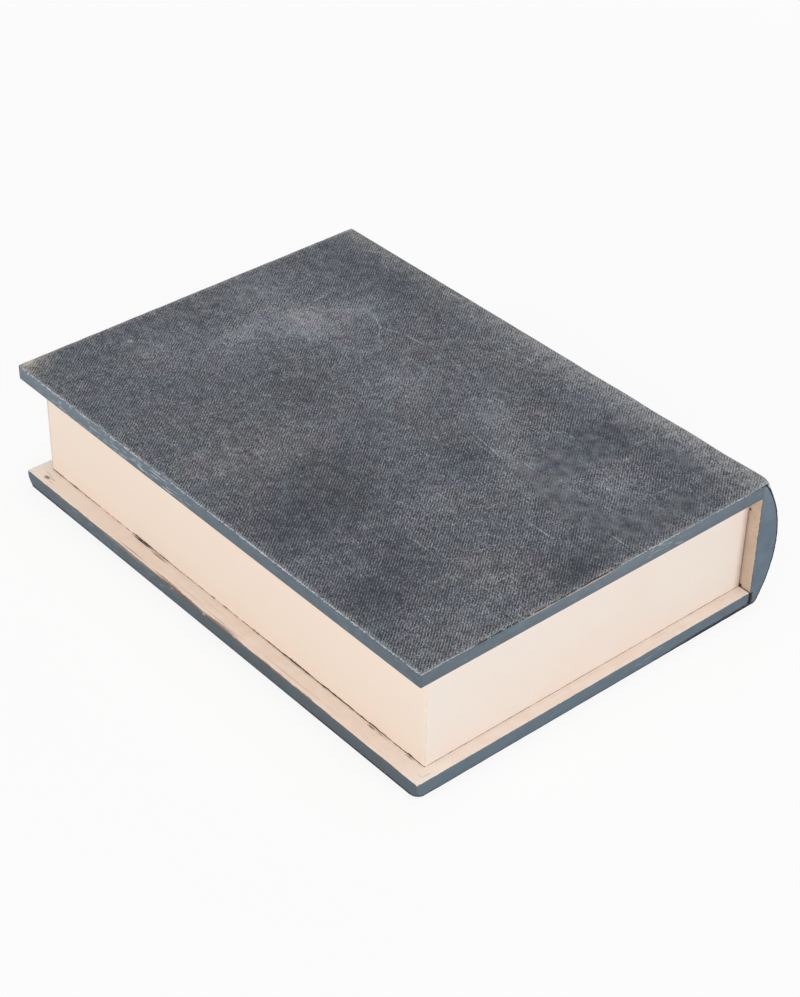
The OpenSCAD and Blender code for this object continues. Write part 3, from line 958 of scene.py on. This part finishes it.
# %% Scratches and rubbed edges
SCRATCHES = (
    # x and run of the middle, half length and half width, turn in degrees, and strength of thin pale marks
    (-66.2, 49.2, 2.4, 1.1, -20, 0.50), (-72, 51.4, 8.5, 0.7, -24, 0.40), (-61.8, 44.4, 8.5, 0.7, -45, 0.40),
    (-59.5, 51.4, 9.5, 0.7, 20, 0.40), (-45, 54.8, 11, 0.7, 5, 0.40), (-8, 56.4, 40, 0.6, 0, 0.24),
    (110, -6.1, 14, 0.6, 0, 0.58), (84, -55.6, 10, 0.6, 0, 0.46), (139.4, 16.4, 9, 0.6, 0, 0.46),
    (46, 20.3, 20, 0.8, -8, 0.48), (44, 17.6, 13, 0.7, -6, 0.36), (71, 24.5, 8, 0.7, -4, 0.34),
    (-135.5, -58.6, 2.2, 1.9, 0, 0.55), (96.2, 64.4, 2.2, 1.3, -20, 0.50), (-107.5, 41.9, 6, 0.7, 90, 0.40),
    (-15.5, -69.3, 9, 0.6, -12, 0.38), (83.8, -10.4, 8, 0.6, 90, 0.36), (105, -36, 11, 0.6, 80, 0.36),
    (126.3, -42.4, 9, 0.6, 90, 0.38), (125, 59.6, 8, 0.6, 90, 0.38), (25.5, 5.9, 1.8, 1.0, 0, 0.45),
    (-98.8, -82.4, 2.2, 1.0, 0, 0.40), (20, 51, 9, 0.6, 4, 0.30), (102, -50, 7, 0.6, 60, 0.32),
)
scratched = 0
for middle_x, run, half_x, half_y, turn, strength in SCRATCHES:
    soft = soft_spot(add, place, (middle_x, run, 0), (half_x, half_y, 1), turn)
    scratched = add("Math MULTIPLY_ADD", soft, strength, scratched)
flat_x, flat_y, _ = add("SeparateXYZ", flat).node.outputs
from_end = add("Math SUBTRACT", HALF / MM, add("Math ABSOLUTE", flat_x))
from_fore = add("Math SUBTRACT", flat_y, FORE / MM)
from_fold = away(add, flat_y, RUN_FOLD / MM + 1)
rubbed = add("Math MAXIMUM", add("MapRange", from_end, 3, 0, 0, 0.3),
             add("MapRange", from_fore, 2.2, 0, 0, 0.34))
on_fold = add("Math POWER", add("MapRange", from_fold, 22, 0), 1.6)
rubbed = add("Math ADD", rubbed, where(add, on_fold, (flat_x, -80, 30, 0.18, 0.36)))
print(len(SCRATCHES), "scratches")

# %% [markdown]
# Everything adds up to how pale each point is, from the dark dye to bare cotton. The hue is worked out
# apart from that: the dye is greener in some places, and bluer or browner in others. Where the cloth is
# rubbed along the fold and its two ends the blue has gone and it is plain grey, and the far fore corner has
# an olive stain. For each hue the same share mixes its own dark and its own pale colour.

# %% The colour of the denim
TINTS = (
    # x and run of the middle, half width and half height, and how much bluer (or browner) the dye is there
    (-112, 70, 52, 44, 0.16), (-20, -66, 50, 44, -0.16), (120, -42, 38, 40, -0.15), (-4, 76, 20, 18, -0.16),
    (-103, 24, 9, 9, -0.35), (80, -92, 22, 16, -0.12), (78, 62, 60, 28, 0.08), (-96, -46, 40, 30, 0.08),
)
blotch = add("TexNoise", place, 0.16, 4, 0.6)
tone = add("Math MULTIPLY_ADD", weave, crisp, -0.17)
for part, weight in ((blotch, 0.68), (wear, 0.69), (rubbed, 1), (scratched, 1)):
    tone = add("Math MULTIPLY_ADD", part, weight, tone)
pale = add("MapRange", tone, 0, 1)
green = add("MapRange", add("TexNoise", flat, 0.06, 4, 0.6), 0.2, 0.8)
colour = add("Mix RGBA", pale, add("Mix RGBA", green, "#201C2E", "#202B2E"),
             add("Mix RGBA", green, "#B9B3C3", "#B8C2C1"))
hue = add("TexNoise", flat, 0.028, 5, 0.62)
for middle_x, run, half_x, half_y, bluer in TINTS:
    soft = soft_spot(add, patchy, (middle_x, run, 0), (half_x, half_y, 1))
    hue = add("Math MULTIPLY_ADD", soft, bluer, hue)
blue_share = add("MapRange", hue, 0.44, 0.6, 0, 0.52)
brown_share = add("MapRange", hue, 0.47, 0.33, 0, 0.19)
grey_share = add("Math MAXIMUM", add("MapRange", from_fold, 16, 0, 0, 0.85),
                 add("MapRange", from_end, 5, 0, 0, 0.6))
olive_share = add("Math MULTIPLY", soft_spot(add, patchy, (-148, -106, 0), (13, 13, 1)), 0.65)
for share, dark, light in ((blue_share, "#1E2736", "#ADB5C0"), (brown_share, "#2D2928", "#BFB7B0"),
                           (grey_share, "#25272A", "#BCBCBD"), (olive_share, "#4A4740", "#D0C6AE")):
    colour = add("Mix RGBA", share, colour, add("Mix RGBA", pale, dark, light))
surface(add, colour, 0.92, height, add("Math MULTIPLY", crisp, 0.7), 0.2 * MM, Sheen_Weight=0.08,
        Sheen_Roughness=0.5)
print("made", denim_face.name, "with", len(TINTS), "tints")

# %% [markdown]
# The cut edge of the cloth shows the ends of the yarn. On the lid they have frayed pale, except on the near
# half of the right end, where they are dark. Round the spine and underneath they are dark.
# There the board's paint has run over the middle of the fore edge and the front of the right end.

# %% Cut edge of the denim
denim_cut, add = new_material("cut_edge_of_denim")
place = in_millimetres(add)
x, y, z = add("SeparateXYZ", place).node.outputs
ends = add("TexNoise", place, 1.2, 3, 0.7)
run = add("SeparateXYZ", add("UVMap", uv_map="flat_cloth")).node.outputs["Y"]
on_lid = add("MapRange", run, RUN_SPINE + 5 * MM, RUN_SPINE + 2 * MM)
dark_stretch = where(add, (away(add, y, -41), 47, 42), (x, 140, 150),
                   (add("TexNoise", place, 0.25, 3), 0.36, 0.46, 0.3, 1))
on_lid = add("Math SUBTRACT", on_lid, dark_stretch, use_clamp=True)
pale_ends = add("Mix RGBA", add("MapRange", ends, 0.4, 0.6), "#666A70", "#AEB3B7")
dark_ends = add("Mix RGBA", add("MapRange", ends, 0.4, 0.65), "#101216", "#2A2E35")
colour = add("Mix RGBA", on_lid, dark_ends, pale_ends)
fore_painted = where(add, (away(add, x, -23), 97, 93), (y, FORE / MM + 3, FORE / MM + 1))
end_painted = where(add, (y, 37, 31), (x, HALF / MM - 5, HALF / MM - 4))
painted = where(add, add("Math MAXIMUM", fore_painted, end_painted), (z, 5, 3))
colour = add("Mix RGBA", painted, colour, add("Mix RGBA", ends, "#454F51", "#65727A"))
surface(add, colour, 0.95, ends, 0.6, 0.3 * MM)
print("made", denim_cut.name)

# %% [markdown]
# ## The cover cloth
#
# The cloth starts as the flat grid that it was cut to, whose map is its own flat place, and each point is
# then folded onto the cloth's line, so no thread is stretched. The cut edges waver by a fraction of a
# millimetre. It is made in two pieces that meet unseen low on the spine's back. The real cloth crosses two
# hinges: one bends between the lid and the spine, and the other between the spine and the base.

# %% Cover cloth
COLUMNS = 300
RUN_JOIN = RUN_FOOT - 5.0 * MM
TRIM = 0.28 * MM          # how much the cut edge wavers on the lid and round the spine
FOOT_TRIM = 0.12 * MM     # and underneath
SWELL_BEFORE = 14 * MM    # how far the loose cloth reaches over the lid, before the fold
SWELL_AFTER = 12 * MM     # and down the spine, after it


def kept_dark(x, y):
    """Whether the cut edge underneath is bare and dark there, and not painted over."""
    return y > 34 * MM if x > HALF - 2 * MM else abs(x + 23 * MM) > 95 * MM


def fold_swell(x, run):
    """How far the loose cloth stands out over the lid's spine edge, in y and z: most near the right end."""
    off = run - RUN_FOLD - 1.0 * MM
    reach = SWELL_BEFORE if off < 0 else SWELL_AFTER
    if abs(off) >= reach:
        return 0.0, 0.0
    along = min(max((x + HALF) / (2 * HALF), 0), 1) * (1 + 0.15 * noise.noise(Vector((x * 45, 0, 6))))
    swell = along * math.cos(off / reach * math.pi / 2) ** 2
    to_end = min(max(1 - (HALF - x) / (4.5 * MM), 0), 1) ** 2
    drawn_in = 0.3 if off < 0 else 0.3 + 0.65 * min(off / (2 * MM), 1)
    return 1.65 * MM * swell * (1 - drawn_in * to_end), 1.4 * MM * swell * (1 - 0.6 * to_end)


def cut_cloth(name, runs, corner, replaced):
    """The cloth between the first and last of the runs, folded onto its line."""
    mesh = bmesh.new()
    bmesh.ops.create_grid(mesh, x_segments=COLUMNS, y_segments=len(runs) - 1, size=0.5)
    for vert in mesh.verts:
        row = round((vert.co.y + 0.5) * (len(runs) - 1))
        vert.co = (vert.co.x * 2 * HALF, runs[row], 0)
    flat_map = mesh.loops.layers.uv.new("flat_cloth")
    for face in mesh.faces:
        for loop in face.loops:
            loop[flat_map].uv = loop.vert.co.xy
    for vert in mesh.verts:
        x, run = vert.co.xy
        jitter = noise.noise(Vector((x * 700, run * 700, 1)))
        jitter += 0.6 * noise.noise(Vector((x * 2300, run * 2300, 4)))
        if HALF - abs(x) < 0.1 * MM:
            x -= math.copysign((TRIM if run < RUN_FOOT else FOOT_TRIM) * (0.6 + jitter), x)
        if run == FORE:
            run += TRIM * (0.6 + jitter)
        # round the fore corners as the board under them is rounded
        along_x = HALF - abs(x)
        along_run = min(run - FORE, RUN_END - run)
        if along_x < corner and along_run < corner:
            reach = Vector((corner - along_x, corner - along_run))
            if reach.length > corner:
                reach *= corner / reach.length
                x = math.copysign(HALF - corner + reach.x, x)
                run = FORE + corner - reach.y if run < 0 else RUN_END - corner + reach.y
        y, z = cover_point(run)
        swell_y, swell_z = fold_swell(x, run)
        vert.co = (x, y + swell_y, z + swell_z)
    made = make_piece(mesh, name, [denim_face, denim_cut], recalculate=False)
    thick = made.modifiers.new("cloth", "SOLIDIFY")
    thick.thickness = CLOTH - HAIR
    thick.offset = 0.0
    thick.material_offset_rim = 1
    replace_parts(made, *replaced)
    return made


upper_runs = [FORE, FORE + 1 * MM, FORE + 2 * MM]
upper_runs += spread(FORE + 3 * MM, RUN_FOLD - 16 * MM, 52)
upper_runs += spread(RUN_FOLD - 16 * MM, RUN_FOLD - 2 * MM, 10)
upper_runs += spread(RUN_FOLD - 2 * MM, RUN_SPINE + 2 * MM, 16)
upper_runs += spread(RUN_SPINE + 2 * MM, RUN_SPINE + 14 * MM, 9)
upper_runs += spread(RUN_SPINE + 14 * MM, RUN_JOIN, 22) + [RUN_JOIN]
cover_cloth = cut_cloth("cover_cloth", upper_runs, 0.7 * MM, ["top_cloth", "spine_cloth"])
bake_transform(cover_cloth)

lower_runs = spread(RUN_JOIN, RUN_FOOT - 1 * MM, 4) + spread(RUN_FOOT - 1 * MM, RUN_UNDER + 1 * MM, 14)
lower_runs += spread(RUN_UNDER + 1 * MM, RUN_END - 8 * MM, 40)
lower_runs += [RUN_END - short * MM for short in (8, 6, 4, 2.5, 1)] + [RUN_END]
foot_cloth = cut_cloth("foot_cloth", lower_runs, 4.9 * MM, ["bottom_cloth"])
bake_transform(foot_cloth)

# %% [markdown]
# ## Frayed threads
#
# Where denim is cut, the ends of its threads stand out, and as ring-dyed yarn is white inside, they make a
# pale dotted line along the edge. Each end is a thin four-sided cone, mostly under a millimetre long, and
# there are hundreds of them, so each has only six faces. Noise bunches them. At the near corner the cloth
# has come undone in a small tuft, whose threads are up to 1.6 mm long.

# %% Pale threads along the lid
def cotton_thread(name, twists, dark, pale):
    """Cotton yarn, with that many marks of its twist to the millimetre."""
    made, add = new_material(name)
    twist = add("MapRange", add("TexNoise", in_millimetres(add), twists, 3), 0.35, 0.65)
    colour = add("Mix RGBA", twist, dark, pale)
    add("OutputMaterial", add("BsdfPrincipled", Base_Color=colour, Roughness=0.95))
    return made


def add_thread(mesh, middle, direction, length, radius):
    """One bit of thread as a thin four-sided cone."""
    turn = direction.to_track_quat("Z", "Y").to_matrix().to_4x4()
    turn.translation = middle
    bmesh.ops.create_cone(mesh, cap_ends=True, segments=4, radius1=radius, radius2=radius * 0.6,
                          depth=length, matrix=turn)


def thread_ends(mesh, start, end, outward, pitch, longest, share):
    """Thread ends along a cut edge from start to end, bunched by noise."""
    span = end - start
    for number in range(int(span.length / (pitch * MM))):
        foot = start + span * (number + random.random()) * pitch * MM / span.length
        swell_y, swell_z = fold_swell(foot.x, foot.y)
        foot += Vector((0, swell_y, swell_z))
        bunch = noise.noise(foot * 420) + 0.5
        if random.random() < share + 0.8 * (bunch - 0.35) + 0.7 * noise.noise(foot * 62):
            length = longest * MM * random.uniform(0.3, 0.65 + 0.4 * min(max(bunch, 0), 1))
            lean = Vector((random.uniform(-0.5, 0.5), random.uniform(-0.5, 0.5), random.uniform(-0.5, 0.3)))
            way = (outward + lean * 0.8).normalized()
            add_thread(mesh, foot + way * length * 0.25, way, length, random.uniform(0.12, 0.2) * MM)


TUFT_THREADS = 60
mesh = bmesh.new()
z = LID_Z + 0.16 * MM
y = FORE + 0.15 * MM
thread_ends(mesh, Vector((-HALF, y, z)), Vector((HALF, y, z)), Vector((0, -1, 0)), pitch=WARP * 0.8,
            longest=1.25, share=0.36)
for side, first, last, share in ((-1, FORE, RUN_FOLD, 0.25), (1, FORE, -84 * MM, 0.36),
                                 (1, -84 * MM, 3 * MM, -0.1), (1, 3 * MM, RUN_FOLD, 0.3)):
    x = side * (HALF - 0.15 * MM)
    thread_ends(mesh, Vector((x, first, z)), Vector((x, last, z)), Vector((side, 0, 0)), pitch=WEFT,
                longest=0.9, share=share)
for number in range(TUFT_THREADS):
    foot = Vector((HALF - random.uniform(0.2, 5.5) * MM, FORE + random.uniform(0.1, 1.2) * MM, z))
    way = Vector((random.uniform(-0.3, 1), random.uniform(-1, 0.1), random.uniform(-0.1, 0.5))).normalized()
    add_thread(mesh, foot, way, random.uniform(0.8, 1.6) * MM, random.uniform(0.1, 0.16) * MM)
undyed = cotton_thread("undyed_cotton_thread", 1.8, "#B4B9BD", "#ECEEEE")
lid_fray = make_piece(mesh, "lid_frayed_threads", [undyed], "lid")
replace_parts(lid_fray, "top_cloth")

# %% [markdown]
# Round the spine and underneath, light and hands haven't reached the ends, and they are still dark. They
# are made the same way, along the cloth's line, and left out where the edge underneath was painted over.

# %% Dark threads round the spine and underneath
dyed = cotton_thread("dyed_cotton_thread", 1.5, "#171A20", "#343B45")
for name, body, replaced, first, last in (
    ("spine_frayed_threads", "spine", "spine_cloth", RUN_SPINE + 1 * MM, RUN_FOOT - 1 * MM),
    ("foot_frayed_threads", "base", "bottom_cloth", RUN_UNDER + 4 * MM, RUN_END - 4 * MM),
):
    mesh = bmesh.new()
    for side in (-1, 1):
        for run in spread(first, last, int((last - first) / (0.45 * MM))):
            shift = random.random() * WEFT * MM
            bunch = noise.noise(Vector((side, run * 300, 9))) + 0.5
            y, z = cover_point(run + shift, random.uniform(-0.2, 0.2) * MM)
            if random.random() < 0.2 + 0.8 * bunch and (body == "spine" or kept_dark(side * HALF, y)):
                way = Vector((side, random.uniform(-0.6, 0.6), random.uniform(-0.2, 0.5))).normalized()
                length = random.uniform(0.3, 0.55 + 0.4 * max(bunch, 0)) * MM
                if body == "base":
                    z += random.uniform(0.1, 0.5 + 0.5 * max(bunch, 0)) * MM
                add_thread(mesh, Vector((side * (HALF - 0.1 * MM), y, max(z, 0.3 * MM))), way, length,
                           random.uniform(0.14, 0.24) * MM)
    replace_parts(make_piece(mesh, name, [dyed], body), replaced)

# %% [markdown]
# ## Stage and light
#
# A wide pale floor takes the box's soft shadow, and far from the box it fades to the plain white that the
# camera sees beyond it. The world is an even white room, dimmer for light than for the camera. Four large
# soft lamps add just enough direction to tell the faces apart: the strongest from the right, one from the
# left, one overhead and a weak one behind.

# %% Floor, world and lamps
floor_paint, add = new_material("matt_white_floor")
path = add("LightPath").node.outputs
matt = add("BsdfDiffuse", Color=(0.93, 0.93, 0.93, 1))
glow = add("Emission", Color=(1, 1, 1, 1), Strength=1)
far = add("VectorMath DISTANCE", add("TexCoord").node.outputs["Object"], (0, 0, 0)).node.outputs["Value"]
seen = where(add, path["Is Camera Ray"], (far, 0.6, 1.3, 0.85, 1))
add("OutputMaterial", add("MixShader", seen, matt, glow))
mesh = bmesh.new()
bmesh.ops.create_grid(mesh, x_segments=1, y_segments=1, size=4.0)
data = bpy.data.meshes.new("floor")
mesh.to_mesh(data)
mesh.free()
data.materials.append(floor_paint)
data.transform(Matrix.Translation((0, 0, cad_box[0].z - HAIR)))
floor = bpy.data.objects.new("floor", data)
bpy.context.scene.collection.objects.link(floor)

world = bpy.data.worlds.new("white_room")
world.use_nodes = True
world.node_tree.nodes.clear()
add = partial(add_node, world.node_tree)
path = add("LightPath").node.outputs
seen = add("Math MAXIMUM", path["Is Camera Ray"], path["Is Glossy Ray"])
seen = add("Math MAXIMUM", seen, path["Is Transmission Ray"])
room = add("Background", Color=(1, 1, 1, 1), Strength=0.38)
white = add("Background", Color=(1, 1, 1, 1), Strength=1)
add("OutputWorld", add("MixShader", seen, room, white))
bpy.context.scene.world = world


def soft_lamp(name, place, aim, size, power):
    """A square area lamp that points at aim."""
    lamp = bpy.data.lights.new(name, "AREA")
    lamp.size = size
    lamp.energy = power
    made = bpy.data.objects.new(name, lamp)
    bpy.context.scene.collection.objects.link(made)
    made.location = place
    made.rotation_mode = "QUATERNION"
    made.rotation_quaternion = (Vector(aim) - Vector(place)).to_track_quat("-Z", "Y")


BOX_MIDDLE = (0, 0, 0.04)
soft_lamp("right", (1.95, -0.5, 0.6), BOX_MIDDLE, size=1.5, power=19.0)
soft_lamp("left", (-0.35, -1.95, 0.55), BOX_MIDDLE, size=1.5, power=15.5)
soft_lamp("overhead", (0.2, 0.4, 2.2), (0, 0, 0), size=1.6, power=15.0)
soft_lamp("behind", (-1.2, 1.6, 0.6), BOX_MIDDLE, size=1.5, power=9.0)
bpy.context.scene.view_settings.view_transform = "Standard"
print("stage ready")
